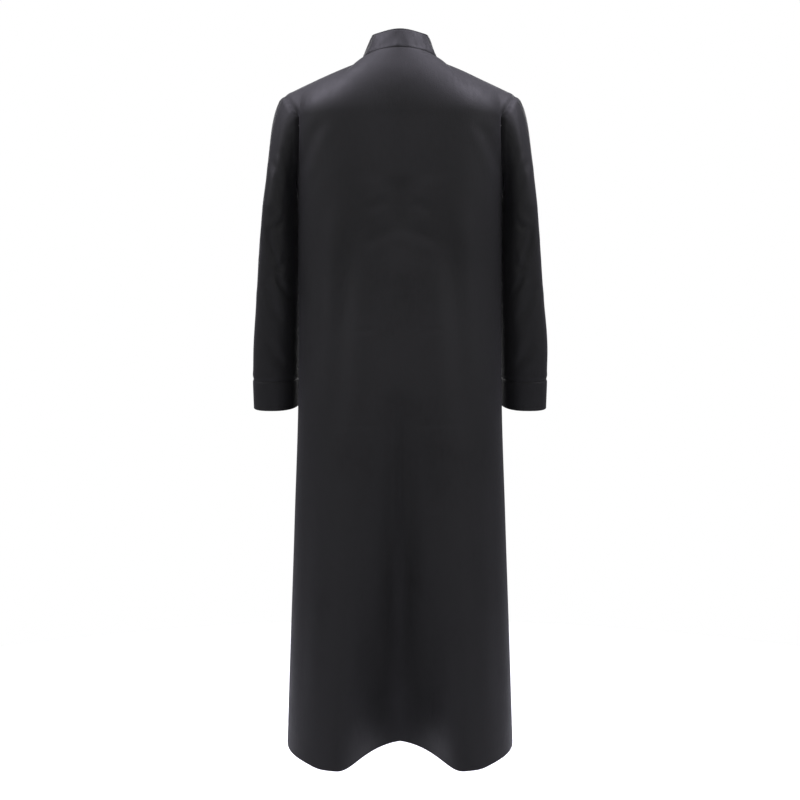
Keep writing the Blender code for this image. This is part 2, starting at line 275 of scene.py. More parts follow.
def ring_points(z, turns):
    """The left sleeve's section at this height, tipped forwards towards the hand."""
    angles = np.linspace(0, np.pi, RING_STEPS + 1)
    x, y, half_x, half_y, pitch = (float(smooth(SLEEVE_RINGS, name, z)) for name in Ring._fields[1:])
    out = np.sign(np.cos(angles)) * np.abs(np.cos(angles)) ** (2 / SLEEVE_SQUARE) * half_x
    back = np.sin(angles) ** (2 / SLEEVE_SQUARE) * half_y
    half = np.stack([out, back, 0 * back], axis=-1)
    loop = along(half, 1 - np.abs(1 - turns * 2))
    loop[:, 1] *= np.sign(0.5 - turns)
    across = x + loop[:, 0] + SLEEVE_TWIST * loop[:, 1]
    return np.stack([across, y + loop[:, 1] * np.cos(pitch), z - loop[:, 1] * np.sin(pitch)], axis=-1)


def cap_points(turns, shares):
    """The top of the left sleeve, from the armhole to the first ring."""
    start = armhole_loop(turns)
    end = ring_points(SLEEVE_RINGS[0].z, turns)
    reach = np.linalg.norm(end - start, axis=1, keepdims=True)
    angle = turns * 2 * np.pi
    outward, sideways, down = CAP_LEAVE
    leave = np.stack(
        [0 * angle + outward, sideways * np.sin(angle), -down * (1 + np.cos(angle)) / 2], axis=-1
    )
    leave /= np.linalg.norm(leave, axis=1, keepdims=True)
    arrive = np.array(CAP_ARRIVE) * CAP_ARRIVE_LENGTH * reach
    leave = leave * CAP_LEAVE_LENGTH * reach
    return np.stack([hermite(start, end, leave, arrive, share) for share in shares])


# ---------------------------------------------------------------------------------------------------------
# Creases: soft troughs and ridges, each along a line in X and Z

Crease = namedtuple("Crease", "side x0 z0 x1 z1 bend width depth")

BACK_CREASES = (
    # between the shoulder blades, and the small of the back under it
    Crease(BACK, 0.000, -0.080, 0.000, -0.400, 0.000, 0.062, 0.0090),
    Crease(BACK, 0.000, -0.260, 0.000, -0.350, 0.000, 0.026, 0.0030),
    Crease(BACK, 0.022, -0.300, 0.060, -0.318, 0.002, 0.009, 0.0010),
    Crease(BACK, -0.024, -0.304, -0.058, -0.320, -0.002, 0.009, 0.0010),
    # the chevron that falls from it to both sides
    Crease(BACK, 0.000, -0.352, 0.066, -0.384, 0.004, 0.010, 0.0010),
    Crease(BACK, 0.000, -0.352, -0.068, -0.380, -0.004, 0.010, 0.0010),
    # long soft drags from the waist to the seat
    Crease(BACK, 0.090, -0.350, 0.122, -0.740, 0.006, 0.020, 0.0030),
    Crease(BACK, -0.088, -0.345, -0.123, -0.755, -0.006, 0.021, 0.0028),
    Crease(BACK, 0.148, -0.300, 0.162, -0.620, 0.004, 0.018, 0.0018),
    Crease(BACK, -0.150, -0.310, -0.163, -0.600, -0.004, 0.018, 0.0017),
    Crease(BACK, 0.036, -0.400, 0.034, -0.720, 0.004, 0.024, 0.0012),
    Crease(BACK, -0.038, -0.410, -0.036, -0.710, -0.004, 0.024, 0.0011),
    # the crease that starts the deep fold
    Crease(BACK, 0.000, -0.700, 0.000, -1.180, 0.000, 0.024, 0.0090),
    Crease(BACK, 0.000, -0.690, 0.000, -0.920, 0.000, 0.005, 0.0018),
    # shoulder blades to armholes
    Crease(BACK, 0.150, -0.150, 0.190, -0.240, 0.004, 0.012, 0.0016),
    Crease(BACK, -0.152, -0.155, -0.190, -0.235, -0.004, 0.012, 0.0016),
    # folded in its packet: faint level creases
    Crease(BACK, 0.046, -0.545, 0.086, -0.547, 0.000, 0.004, 0.0006),
    Crease(BACK, -0.048, -0.546, -0.084, -0.544, 0.000, 0.004, 0.0006),
    Crease(BACK, 0.030, -0.724, 0.110, -0.727, 0.000, 0.004, 0.0005),
    Crease(BACK, -0.032, -0.725, -0.108, -0.722, 0.000, 0.004, 0.0005),
    # the outer side of the skirt's lobes
    Crease(BACK, 0.176, -0.820, 0.190, -1.300, 0.000, 0.016, 0.0014),
    Crease(BACK, -0.177, -0.800, -0.190, -1.310, 0.000, 0.016, 0.0013),
)

SLEEVE_CREASES = (
    # from the armhole down across the back of the upper arm
    Crease(BACK, 0.238, -0.120, 0.246, -0.235, 0.002, 0.007, 0.0014),
    Crease(BACK, 0.232, -0.192, 0.206, -0.222, 0.003, 0.009, 0.0012),
    Crease(BACK, 0.246, -0.215, 0.226, -0.290, -0.003, 0.007, 0.0018),
    Crease(BACK, 0.208, -0.300, 0.240, -0.345, -0.003, 0.006, 0.0045),
    # the elbow
    Crease(BACK, 0.258, -0.350, 0.236, -0.425, 0.003, 0.006, 0.0045),
    Crease(BACK, 0.210, -0.365, 0.236, -0.425, -0.003, 0.006, 0.0039),
    Crease(BACK, 0.240, -0.436, 0.208, -0.482, 0.002, 0.006, 0.0048),
    Crease(BACK, 0.266, -0.452, 0.236, -0.520, 0.002, 0.009, 0.0030),
    Crease(BACK, 0.262, -0.560, 0.232, -0.610, 0.002, 0.010, 0.0021),
    Crease(FRONT, 0.274, -0.380, 0.222, -0.420, 0.004, 0.008, 0.0051),
    Crease(FRONT, 0.270, -0.425, 0.218, -0.452, 0.004, 0.007, 0.0045),
    Crease(FRONT, 0.262, -0.330, 0.222, -0.352, 0.003, 0.009, 0.0030),
    Crease(FRONT, 0.248, -0.150, 0.216, -0.235, 0.003, 0.008, 0.0039),
)

FRONT_CREASES = (
    Crease(FRONT, 0.120, -0.120, 0.185, -0.230, 0.006, 0.014, 0.0024),
    Crease(FRONT, -0.118, -0.118, -0.185, -0.235, -0.006, 0.014, 0.0022),
    Crease(FRONT, 0.070, -0.330, 0.110, -0.640, 0.006, 0.017, 0.0028),
    Crease(FRONT, -0.074, -0.340, -0.106, -0.660, -0.006, 0.018, 0.0024),
    Crease(FRONT, 0.150, -0.300, 0.136, -0.700, 0.004, 0.018, 0.0024),
    Crease(FRONT, -0.150, -0.310, -0.140, -0.680, -0.004, 0.018, 0.0024),
    Crease(FRONT, 0.050, -0.760, 0.062, -1.330, 0.004, 0.020, 0.0034),
    Crease(FRONT, -0.054, -0.740, -0.060, -1.330, -0.004, 0.020, 0.0030),
    Crease(FRONT, 0.168, -0.760, 0.182, -1.340, 0.000, 0.018, 0.0028),
    Crease(FRONT, -0.166, -0.780, -0.180, -1.340, 0.000, 0.018, 0.0028),
)

RIDGE_SHARE = 0.5  # how proud the cloth stands beside a trough, as a share of its depth
RIDGE_OFF = 1.9  # and how far from its middle, in widths
OVERRUN = 0.15  # a crease runs out this far past its ends, as a share of its length
FADE = 0.35  # the share of its length over which it fades in and out
FACING = (2.0, 0.3)  # it shows where the cloth faces its side: the slope and the start of that

Rumple = namedtuple("Rumple", "size height seed")
RUMPLE_STRETCH = 2.2  # longer down than across
BACK_RUMPLE = Rumple(0.11, 0.0024, 3.1)
FRONT_RUMPLE = Rumple(0.12, 0.0022, 7.7)
SLEEVE_RUMPLE = Rumple(0.07, 0.0020, 12.3)
CUFF_RUMPLE = Rumple(0.05, 0.0008, 5.5)
COLLAR_RUMPLE = Rumple(0.014, 0.0016, 9.2)


def share_near(distance, reach):
    """1 at no distance, fading on a bell curve over about this reach."""
    return np.exp(-((distance / reach) ** 2))


def creased(points, normals, creases, mirror=1):
    """How far out each point moves for a table of creases."""
    move = np.zeros(points.shape[:-1])
    for crease in creases:
        start = np.array([crease.x0 * mirror, crease.z0])
        line = np.array([crease.x1 * mirror, crease.z1]) - start
        length = np.linalg.norm(line)
        line = line / length
        flat = points[..., [0, 2]] - start
        share = flat @ line / length
        off = flat @ np.array([-line[1], line[0]]) * mirror
        off = off - crease.bend * mirror * 4 * share * (1 - share)
        fade = np.clip(np.minimum(share + OVERRUN, 1 + OVERRUN - share) / FADE, 0, 1)
        fade = fade * fade * (3 - 2 * fade)
        facing = np.clip(normals[..., 1] * crease.side * FACING[0] + FACING[1], 0, 1)
        near = off / crease.width
        ridge = RIDGE_SHARE * share_near(np.abs(near) - RIDGE_OFF, 1)
        move += crease.depth * (ridge - share_near(near, 1)) * fade * facing
    return move


def rumpled(points, rumple):
    """How far out each point moves for the slow unevenness of hanging cloth."""
    places = points.reshape(-1, 3) / rumple.size / (1, 1, RUMPLE_STRETCH) + (rumple.seed, 0, 0)
    values = [noise.noise(Vector(place)) for place in places]
    return rumple.height * np.array(values).reshape(points.shape[:-1])


def grid_normals(points, closed):
    """Outward normals of a grid whose columns run round the piece, seen from outside, left to right."""
    if closed:
        wide = np.concatenate([points[:, -1:], points, points[:, :1]], axis=1)
        across = wide[:, 2:] - wide[:, :-2]
    else:
        across = np.gradient(points, axis=1)
    normals = np.cross(across, np.gradient(points, axis=0))
    return normals / np.maximum(np.linalg.norm(normals, axis=-1, keepdims=True), 1e-12)


def from_edge(points, edge):
    """Each point's distance along its row or column from one edge of the grid."""
    axis = 1 if edge in ("first", "last") else 0
    steps = np.linalg.norm(np.diff(points, axis=axis), axis=-1)
    run = np.concatenate([np.zeros_like(np.take(steps, [0], axis)), np.cumsum(steps, axis)], axis)
    if edge in ("last", "top"):
        run = np.take(run, [-1], axis) - run
    return run


SEAM_DEPTH = 0.0016
SEAM_REACH = 0.0045
SEAM_SWELL = 0.0005  # the cloth stands a little proud where the seam's turnings lie beneath it
SEAM_SWELL_AT = 0.0110


def seam(distance):
    """A pressed seam: the cloth dips to it, over the turnings' soft ridge."""
    swell = SEAM_SWELL * share_near(distance - SEAM_SWELL_AT, SEAM_REACH)
    return swell - SEAM_DEPTH * share_near(distance, SEAM_REACH)


# ---------------------------------------------------------------------------------------------------------
# Materials


def node_of(tree, kind, **settings):
    node = tree.nodes.new(kind)
    for name, value in settings.items():
        if hasattr(node, name):
            setattr(node, name, value)
        else:
            node.inputs[name.replace("_", " ")].default_value = value
    return node


def shaded(name):
    """A new material, its node tree, its shader and the texture coordinates."""
    material = bpy.data.materials.new(name)
    material.use_nodes = True
    tree = material.node_tree
    return material, tree, tree.nodes["Principled BSDF"], node_of(tree, "ShaderNodeTexCoord")


def set_ramp(ramp, dark, light, start=0.0):
    """A ramp from the dark colour at its start to the light colour at its end."""
    for element, colour in zip(ramp.color_ramp.elements, (dark, light)):
        element.color = (*colour, 1)
    ramp.color_ramp.elements[0].position = start


TWILL = 0.0011  # from one diagonal rib to the next
SLUB_STRETCH = (1.0, 0.25, 1.0)  # slubs run down the cloth
SLUB_SHARE = 0.6
SLUB_HEIGHT = 0.0005
WEAVE_HEIGHT = 0.00012
RAMP_START = 0.60  # where the slubs' and the weave's sum starts to lighten the cloth
CLOTH_ROUGHNESS = (0.50, 0.72)
UNEVEN_SPAN = (0.5, 1.1)  # the span of the sum that the roughness follows


def cloth_material(name, dark, light):
    """Black worsted-look twill: diagonal ribs, fine threads and slow changes of depth and sheen."""
    material, tree, shader, where = shaded(name)

    ribs = node_of(tree, "ShaderNodeTexWave", wave_type="BANDS", bands_direction="DIAGONAL")
    ribs.inputs["Scale"].default_value = 2 * math.pi / 10 / TWILL
    ribs.inputs["Distortion"].default_value = 0.6
    ribs.inputs["Detail"].default_value = 1.0
    threads = node_of(tree, "ShaderNodeTexNoise", Scale=1600.0, Detail=2.0)
    slow = node_of(tree, "ShaderNodeTexNoise", Scale=7.0, Detail=3.0)
    for texture in (ribs, threads):
        tree.links.new(where.outputs["UV"], texture.inputs["Vector"])
    stretch = node_of(tree, "ShaderNodeMapping")
    stretch.inputs["Scale"].default_value = SLUB_STRETCH
    slubs = node_of(tree, "ShaderNodeTexNoise", Scale=150.0, Detail=4.0, Roughness=0.65)
    tree.links.new(where.outputs["UV"], stretch.inputs["Vector"])
    tree.links.new(stretch.outputs["Vector"], slubs.inputs["Vector"])
    tree.links.new(where.outputs["Object"], slow.inputs["Vector"])

    height = node_of(tree, "ShaderNodeMath", operation="MULTIPLY_ADD")
    height.inputs[1].default_value = 0.45
    tree.links.new(threads.outputs["Fac"], height.inputs[0])
    tree.links.new(ribs.outputs["Fac"], height.inputs[2])
    bump = node_of(tree, "ShaderNodeBump", Strength=0.35, Distance=WEAVE_HEIGHT)
    tree.links.new(height.outputs[0], bump.inputs["Height"])
    pucker = node_of(tree, "ShaderNodeBump", Strength=0.6, Distance=SLUB_HEIGHT)
    tree.links.new(slubs.outputs["Fac"], pucker.inputs["Height"])
    tree.links.new(bump.outputs["Normal"], pucker.inputs["Normal"])
    tree.links.new(pucker.outputs["Normal"], shader.inputs["Normal"])

    depth = node_of(tree, "ShaderNodeMath", operation="MULTIPLY_ADD")
    depth.inputs[1].default_value = 0.35
    tree.links.new(height.outputs[0], depth.inputs[0])
    uneven = node_of(tree, "ShaderNodeMath", operation="MULTIPLY_ADD")
    uneven.inputs[1].default_value = SLUB_SHARE
    tree.links.new(slubs.outputs["Fac"], uneven.inputs[0])
    tree.links.new(slow.outputs["Fac"], uneven.inputs[2])
    tree.links.new(uneven.outputs[0], depth.inputs[2])
    shade = node_of(tree, "ShaderNodeValToRGB")
    set_ramp(shade, dark, light, RAMP_START)
    tree.links.new(depth.outputs[0], shade.inputs["Fac"])
    tree.links.new(shade.outputs["Color"], shader.inputs["Base Color"])

    gloss = node_of(tree, "ShaderNodeMapRange")
    gloss.inputs["To Min"].default_value, gloss.inputs["To Max"].default_value = CLOTH_ROUGHNESS
    gloss.inputs["From Min"].default_value, gloss.inputs["From Max"].default_value = UNEVEN_SPAN
    tree.links.new(uneven.outputs[0], gloss.inputs["Value"])
    tree.links.new(gloss.outputs["Result"], shader.inputs["Roughness"])
    shader.inputs["Specular IOR Level"].default_value = 0.09
    shader.inputs["Specular Tint"].default_value = (0.98, 0.97, 1.0, 1)
    shader.inputs["Sheen Weight"].default_value = 0.02
    shader.inputs["Sheen Roughness"].default_value = 0.45
    shader.inputs["Sheen Tint"].default_value = (0.90, 0.88, 1.0, 1)
    return material


def thread_material():
    material, tree, shader, where = shaded("thread")
    ply = node_of(tree, "ShaderNodeTexNoise", Scale=2200.0, Detail=1.0)
    tree.links.new(where.outputs["Object"], ply.inputs["Vector"])
    bump = node_of(tree, "ShaderNodeBump", Strength=0.4, Distance=0.0001)
    tree.links.new(ply.outputs["Fac"], bump.inputs["Height"])
    tree.links.new(bump.outputs["Normal"], shader.inputs["Normal"])
    shade = node_of(tree, "ShaderNodeValToRGB")
    set_ramp(shade, (0.008, 0.008, 0.010), (0.022, 0.022, 0.027))
    tree.links.new(ply.outputs["Fac"], shade.inputs["Fac"])
    tree.links.new(shade.outputs["Color"], shader.inputs["Base Color"])
    shader.inputs["Roughness"].default_value = 0.42
    return material


BUTTON_ROUGHNESS = (0.16, 0.34)


def button_material():
    material, tree, shader, where = shaded("button")
    cloud = node_of(tree, "ShaderNodeTexNoise", Scale=260.0, Detail=3.0)
    tree.links.new(where.outputs["Object"], cloud.inputs["Vector"])
    shade = node_of(tree, "ShaderNodeValToRGB")
    set_ramp(shade, (0.006, 0.006, 0.007), (0.020, 0.020, 0.024))
    tree.links.new(cloud.outputs["Fac"], shade.inputs["Fac"])
    tree.links.new(shade.outputs["Color"], shader.inputs["Base Color"])
    rub = node_of(tree, "ShaderNodeMapRange")
    rub.inputs["To Min"].default_value, rub.inputs["To Max"].default_value = BUTTON_ROUGHNESS
    tree.links.new(cloud.outputs["Fac"], rub.inputs["Value"])
    tree.links.new(rub.outputs["Result"], shader.inputs["Roughness"])
    return material


CLOTH_LOOK = cloth_material("cassock_cloth", (0.0050, 0.0050, 0.0051), (0.0090, 0.0090, 0.0093))
BAND_LOOK = cloth_material("band_cloth", (0.0054, 0.0054, 0.0056), (0.0098, 0.0098, 0.0103))
THREAD_LOOK = thread_material()
BUTTON_LOOK = button_material()

# ---------------------------------------------------------------------------------------------------------
# Pieces


def linked(name, mesh, look):
    piece = bpy.data.objects.new(name, mesh)
    bpy.context.scene.collection.objects.link(piece)
    mesh.materials.clear()
    mesh.materials.append(look)
    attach(piece, "root")
    return piece


SHARP_ANGLE = math.radians(50)
BAND_EDGE = 0.0005  # how far a band's edges are rounded


def shell(node, points, thickness, look, closed, soft_edge):
    """A thin shell inwards from a grid of outer points, in place of a CAD node, with its weave's UVs in
    metres."""
    name = f"{node}_cloth"
    row_count, column_count = points.shape[:2]
    numbers = np.arange(row_count * column_count).reshape(row_count, column_count)
    if closed:
        numbers = np.concatenate([numbers, numbers[:, :1]], axis=1)
    quads = np.stack([numbers[:-1, :-1], numbers[:-1, 1:], numbers[1:, 1:], numbers[1:, :-1]], axis=-1)
    mesh = bpy.data.meshes.new(name)
    mesh.from_pydata(points.reshape(-1, 3).tolist(), [], quads.reshape(-1, 4).tolist())

    wrapped = np.concatenate([points, points[:, :1]], axis=1) if closed else points
    u = from_edge(wrapped, "first")
    u = u - u[:, u.shape[1] // 2 : u.shape[1] // 2 + 1]
    v = from_edge(wrapped, "bottom")
    uv = np.stack([u, v], axis=-1)
    corners = np.stack([uv[:-1, :-1], uv[:-1, 1:], uv[1:, 1:], uv[1:, :-1]], axis=2)
    layer = mesh.uv_layers.new(name="weave")
    layer.data.foreach_set("uv", corners.reshape(-1).astype(np.float32))

    piece = linked(name, mesh, look)
    thicken = piece.modifiers.new("thickness", "SOLIDIFY")
    thicken.thickness = thickness
    thicken.offset = -1
    if soft_edge:
        rounding = piece.modifiers.new("soft edge", "BEVEL")
        rounding.width = soft_edge
        rounding.segments = 2
        rounding.angle_limit = SHARP_ANGLE
    graph = bpy.context.evaluated_depsgraph_get()
    made = bpy.data.meshes.new_from_object(piece.evaluated_get(graph), depsgraph=graph)
    piece.modifiers.clear()
    piece.data = made
    made.shade_smooth()
    made.set_sharp_from_angle(angle=SHARP_ANGLE)
    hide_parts(node)
    return piece


def mirrored(points):
    """The same piece for the wearer's other side, still facing out."""
    return points[:, ::-1] * (-1, 1, 1)


SKIRT_ROWS = 186
ARMHOLE_ROWS = 34
SHOULDER_ROWS = 46
EDGE_ROWS = (2.986, 2.993, 2.998, 3.0)
HALF_COLUMNS = 76
EDGE_SHARES = (0.9935, 0.9979, 1.0)
CENTRE_CROWDING = 1.2  # columns stand closer near the centre

HEM_TURNING = 0.035
HEM_LINE_DEPTH = 0.0002
HEM_LINE_WIDTH = 0.0022
TURNED_IN = ((0.0012, 0.0004), (0.0050, 0.0004))  # in, and back from the seam
HEM_FOLD = ((0.0008, -0.0006), (0.0020, 0.0002), (0.0026, 0.0060), (0.0026, HEM_TURNING))
CALM = 0.030  # the slow unevenness fades out this close to a seam


def body_rows():
    upright = even(0, 1, SKIRT_ROWS) + even(1, 2, ARMHOLE_ROWS)[1:]
    return upright + even(2, EDGE_ROWS[0], SHOULDER_ROWS)[1:] + list(EDGE_ROWS[1:])


def half_shares():
    """Shares of the columns from the centre to the side edge."""
    shares = [share**CENTRE_CROWDING for share in even(0, 1, HALF_COLUMNS)[:-1]]
    return shares + list(EDGE_SHARES)


def hem_line(distance):
    """The soft line where the turned-up hem is sewn."""
    return -HEM_LINE_DEPTH * share_near(distance - HEM_TURNING, HEM_LINE_WIDTH)


def with_turnings(points, normals, edges, folds=TURNED_IN):
    """The grid with its cloth turned in behind these edges. A fold is how far in, and how far back from the
    edge, each of its lines lies."""
    for edge in edges:
        axis = 1 if edge in ("first", "last") else 0
        first = edge in ("first", "bottom")
        count = points.shape[axis]
        rim = np.take(points, [0 if first else count - 1], axis)
        inner = np.take(points, [1 if first else count - 2], axis)
        out = np.take(normals, [0 if first else count - 1], axis)
        side = (inner - rim) / np.maximum(np.linalg.norm(inner - rim, axis=-1, keepdims=True), 1e-9)
        lines = [rim - out * inward + side * back for inward, back in folds]
        facing = [out] * len(folds)
        if first:
            points = np.concatenate(lines[::-1] + [points], axis)
            normals = np.concatenate(facing + [normals], axis)
        else:
            points = np.concatenate([points] + lines, axis)
            normals = np.concatenate([normals] + facing, axis)
    return points, normals


COLLAR_CLEAR = 0.012  # the shoulder seam takes up its depth over this much of its length


def on_shoulder(points):
    """1 along the shoulder seam, and 0 along the neckline, where the collar covers the seam."""
    return np.clip((np.abs(points[-1:, :, 0]) - NECK_HALF) / COLLAR_CLEAR, 0, 1)


RELAX_ROUNDS = 36
RELAX_AT_HEM = 0.7
RELAX_FADE = 0.10  # over this height at the hem and below the shoulder blades
RELAX_INSET = 0.05  # and this far in from the side edges


def relaxed(points):
    """The skirt with its bends eased across, less so at the hem."""
    points = points.copy()
    z = points[:, :1, 2:]
    low = np.clip((z - HEM_Z) / RELAX_FADE, RELAX_AT_HEM, 1)
    weight = low * np.clip((BLADE_Z - RELAX_FADE - z) / RELAX_FADE, 0, 1)
    for _ in range(RELAX_ROUNDS):
        middle = (points[:, :-2] + points[:, 2:]) / 2
        points[:, 1:-1] += (middle - points[:, 1:-1]) * weight / 2 * (1, 1, 0)
    return points


LOBE_SAGS = (0.103, 0.153)  # the hem hangs lower here, to both sides of each lobe's crest
LOBE_SAG = 0.0028
LOBE_SAG_WIDTH = 0.021
LOBE_SAG_HEIGHT = 0.5


def lobes_sagged(points):
    """The back with its lobes rounded out at the hem."""
    across = np.abs(points[..., 0])
    near_hem = np.clip(1 - (points[..., 2] - HEM_Z) / LOBE_SAG_HEIGHT, 0, 1) ** 3
    sag = sum(share_near(across - x, LOBE_SAG_WIDTH) for x in LOBE_SAGS)
    return points - (LOBE_SAG * sag * near_hem)[..., None] * (0, 0, 1)


SIDE_CALM = 0.8  # how much of the unevenness is gone where the cloth faces sideways


def back_surface():
    half = half_shares()
    columns = [(share, 0) for share in half[::-1]] + [(-share, 0) for share in half[1:]]
    points = panel_points(BACK, columns, body_rows())
    inset = np.minimum(from_edge(points, "first"), from_edge(points, "last"))[..., None]
    eased = (relaxed(points) - points) * np.clip(inset / RELAX_INSET, 0, 1)
    points = lobes_sagged(points + eased)
    normals = grid_normals(points, False)
    to_side = np.minimum(from_edge(points, "first"), from_edge(points, "last"))
    to_top, to_hem = from_edge(points, "top"), from_edge(points, "bottom")
    move = creased(points, normals, BACK_CREASES)
    calm = np.clip(np.minimum(to_side, to_top) / CALM, 0, 1) * (1 - SIDE_CALM * np.abs(normals[..., 0]))
    move += rumpled(points, BACK_RUMPLE) * calm
    move += seam(to_side) + seam(to_top) * on_shoulder(points) + hem_line(to_hem)
    points = points + normals * move[..., None]
    points, normals = with_turnings(points, normals, ("bottom",), HEM_FOLD)
    return with_turnings(points, normals, ("first", "last", "top"))[0]


LAP_COLUMNS = 8


def front_surface(hand):
    """One front as if it were the wearer's left; the right one is sunk beneath the left at the centre."""
    lap = LAP if hand == LEFT else UNDERLAP
    columns = [(0, -reach) for reach in even(lap, 0, LAP_COLUMNS)[:-1]]
    columns += [(share, 0) for share in half_shares()]
    points = panel_points(FRONT, columns, body_rows())
    normals = grid_normals(points, False)
    to_side, to_top, to_hem = (from_edge(points, edge) for edge in ("last", "top", "bottom"))
    clear = np.clip((points[..., 0] - LAP - LAP_SINK) / LAP_BLEND, 0, 1)
    move = creased(points, normals, FRONT_CREASES, mirror=hand) * clear
    calm = np.clip(np.minimum(to_side, to_top) / CALM, 0, 1) * clear
    move += rumpled(points * (hand, 1, 1), FRONT_RUMPLE) * calm
    move += seam(to_side) + seam(to_top) * on_shoulder(points) + hem_line(to_hem)
    if hand == RIGHT:
        move -= LAP_SINK * (1 - clear)
    points = points + normals * move[..., None]
    points, normals = with_turnings(points, normals, ("bottom",), HEM_FOLD)
    return with_turnings(points, normals, ("last", "top"))[0]


SLEEVE_COLUMNS = 96
CAP_EDGE_SHARES = [0, 0.006, 0.016]  # rows close to the armhole, before the even ones
CAP_START = 0.03
CAP_ROWS = 44
ARM_ROWS = 84
PUCKER_COUNT = 30
PUCKER_DEPTH = 0.0008
PUCKER_REACH = 0.020
INNER_CALM = (0.45, 2.2)  # the creases fade where the sleeve faces the body: from this normal, this fast
CUFF_ROWS = 20
CUFF_TUCK = ((0.0020, 0.0080), (0.0016, 0.0016))  # its upper edge, in and up behind the sleeve
CUFF_GAP = 0.0004
CUFF_STAND = 0.0003  # the doubled cuff stands this much proud of the sleeve
CUFF_SWELL = 0.0020  # below its seam, over this much
CUFF_SEAM_DEPTH = 0.0006
CUFF_SEAM_WIDTH = 0.0012


def sleeve_surface(hand):
    turns = np.linspace(1, 0, SLEEVE_COLUMNS, endpoint=False)
    cap = cap_points(turns, CAP_EDGE_SHARES + even(CAP_START, 1, CAP_ROWS))
    heights = even(SLEEVE_RINGS[0].z, CUFF_SEAM_Z, ARM_ROWS)[1:]
    points = np.concatenate([cap, [ring_points(z, turns) for z in heights]])
    normals = grid_normals(points, True)
    down, up = from_edge(points, "bottom"), from_edge(points, "top")
    at_tip = (np.cos(turns * 2 * np.pi) + 1) / 2
    gathers = np.cos(turns * 2 * np.pi * PUCKER_COUNT) * at_tip**2
    move = creased(points, normals, SLEEVE_CREASES)
    move += PUCKER_DEPTH * gathers * share_near(down, PUCKER_REACH)
    move += rumpled(points * (hand, 1, 1), SLEEVE_RUMPLE) * np.clip(np.minimum(down, up) / CALM, 0, 1)
    calm_from, calm_rate = INNER_CALM
    move *= np.clip(1 + calm_rate * np.clip(normals[..., 0] + calm_from, -1, 0), 0, 1)
    move += seam(down) + seam(up)
    return with_turnings(points + normals * move[..., None], normals, ("bottom",))[0]


def cuff_surface():
    turns = np.linspace(1, 0, SLEEVE_COLUMNS, endpoint=False)
    heights = even(CUFF_SEAM_Z - CUFF_GAP, CUFF_END_Z, CUFF_ROWS)
    points = np.array([ring_points(z, turns) for z in heights])
    normals = grid_normals(points, True)
    down = from_edge(points, "bottom")
    move = CUFF_STAND * (1 - share_near(down, CUFF_SWELL))
    move += rumpled(points, CUFF_RUMPLE) - CUFF_SEAM_DEPTH * share_near(down, CUFF_SEAM_WIDTH)
    points = points + normals * move[..., None]
    tucked = [points[0] - normals[0] * inward + (0, 0, up) for inward, up in CUFF_TUCK]
    return np.concatenate([tucked, points])


COLLAR_COLUMNS = 220
COLLAR_ROWS = (0.0, 0.03, 0.07, 0.12, *even(0.18, 0.86, 14), 0.90, 0.93, 0.95, 0.97, 0.985, 1.0)
COLLAR_STAND = 0.0006
COLLAR_SWELL = 0.0025  # above its seam, over this much
COLLAR_SEAM_DEPTH = 0.0010
COLLAR_SEAM_WIDTH = 0.0012
COLLAR_STREAK = 0.12  # its unevenness runs up and down the band
COLLAR_CALM = 0.008
ROLL_AT = 0.0030  # below the collar's top edge
ROLL_DEPTH = 0.0006
ROLL_WIDTH = 0.0012
COLLAR_TUCK = ((0.0012, 0.0050), (0.0004, 0.0016))  # its lower edge, in and down behind the neckline


def collar_surface():
    """The band from one end at the centre front round the back of the neck to the other."""
    half_turn = np.pi - COLLAR_OPENING / 2 / NECK_FRONT
    angles = np.linspace(half_turn, -half_turn, COLLAR_COLUMNS + 1)
    back, x = np.cos(angles), np.sin(angles)
    ahead = np.clip(-back, 0, 1)
    base_y = np.where(back > 0, NECK_BACK, NECK_FRONT) * back
    base_z = NECK_SIDE_Z + NECK_BACK_RISE * back - NECK_FRONT_DROP * ahead**2
    top_y = np.where(back > 0, COLLAR_TOP_BACK, COLLAR_TOP_FRONT) * back
    dip = np.where(back > 0, np.sin(2 * angles) ** 2, 0)
    top_z = COLLAR_TOP_Z - COLLAR_FRONT_DROP * ahead**2 - COLLAR_DIP * dip
    base = np.stack([NECK_HALF * x, base_y, base_z], axis=-1)
    top = np.stack([COLLAR_TOP_HALF * x, top_y, top_z], axis=-1)
    points = np.array([base + (top - base) * share for share in COLLAR_ROWS])
    normals = grid_normals(points, False)
    up, down = from_edge(points, "bottom"), from_edge(points, "top")
    calm = np.clip(np.minimum(up, down) / COLLAR_CALM, 0, 1)
    move = rumpled(points * (1, 1, COLLAR_STREAK), COLLAR_RUMPLE) * calm
    move += COLLAR_STAND * (1 - share_near(up, COLLAR_SWELL))
    move -= COLLAR_SEAM_DEPTH * share_near(up, COLLAR_SEAM_WIDTH)
    move -= ROLL_DEPTH * share_near(down - ROLL_AT, ROLL_WIDTH)
    points = points + normals * move[..., None]
    tucked = [points[0] - normals[0] * inward - (0, 0, down_by) for inward, down_by in COLLAR_TUCK]
    return np.concatenate([tucked, points])


def make_cloth():
    cuff = cuff_surface()
    surfaces = {
        "back": back_surface(),
        "front_left": front_surface(LEFT),
        "front_right": mirrored(front_surface(RIGHT)),
        "sleeve_left": sleeve_surface(LEFT),
        "sleeve_right": mirrored(sleeve_surface(RIGHT)),
        "cuff_left": cuff,
        "cuff_right": mirrored(cuff),
        "collar": collar_surface(),
    }
    pieces = {}
    for node, points in surfaces.items():
        closed = node.startswith(("sleeve", "cuff"))
        if node.startswith(("cuff", "collar")):
            piece = shell(node, points, BAND, BAND_LOOK, closed, BAND_EDGE)
        else:
            piece = shell(node, points, CLOTH, CLOTH_LOOK, closed, 0)
        pieces[piece.name] = piece
    return pieces


# ---------------------------------------------------------------------------------------------------------
# Buttons and stitching

